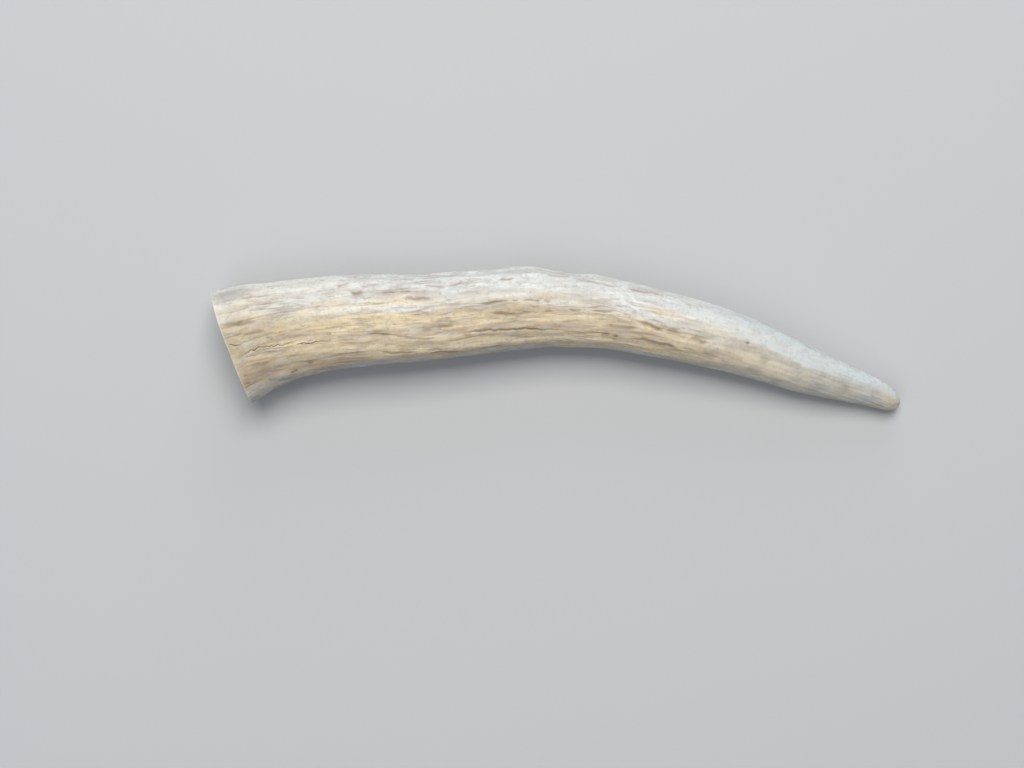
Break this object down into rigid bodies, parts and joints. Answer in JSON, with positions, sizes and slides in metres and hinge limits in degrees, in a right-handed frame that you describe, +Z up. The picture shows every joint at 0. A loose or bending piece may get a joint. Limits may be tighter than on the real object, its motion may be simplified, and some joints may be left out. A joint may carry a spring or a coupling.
{
  "type": "deer antler tine",
  "caption": "Sawn-off deer antler tine lying on its side: a flared, flat-cut base, a gentle bend and a long taper to a blunt polished tip.",
  "frame": {"origin": "under the middle of the antler's bounding box, on the surface that it lies on", "axes": "+X from the sawn base to the tip, +Y towards the outside of the bend, +Z up from the surface that it lies on"},
  "size_m": [0.166, 0.0342, 0.0205],
  "materials": {
    "antler_bone": null
  },
  "bodies": {
    "root": {"antler_tine": "antler_bone"}
  },
  "joints": []
}
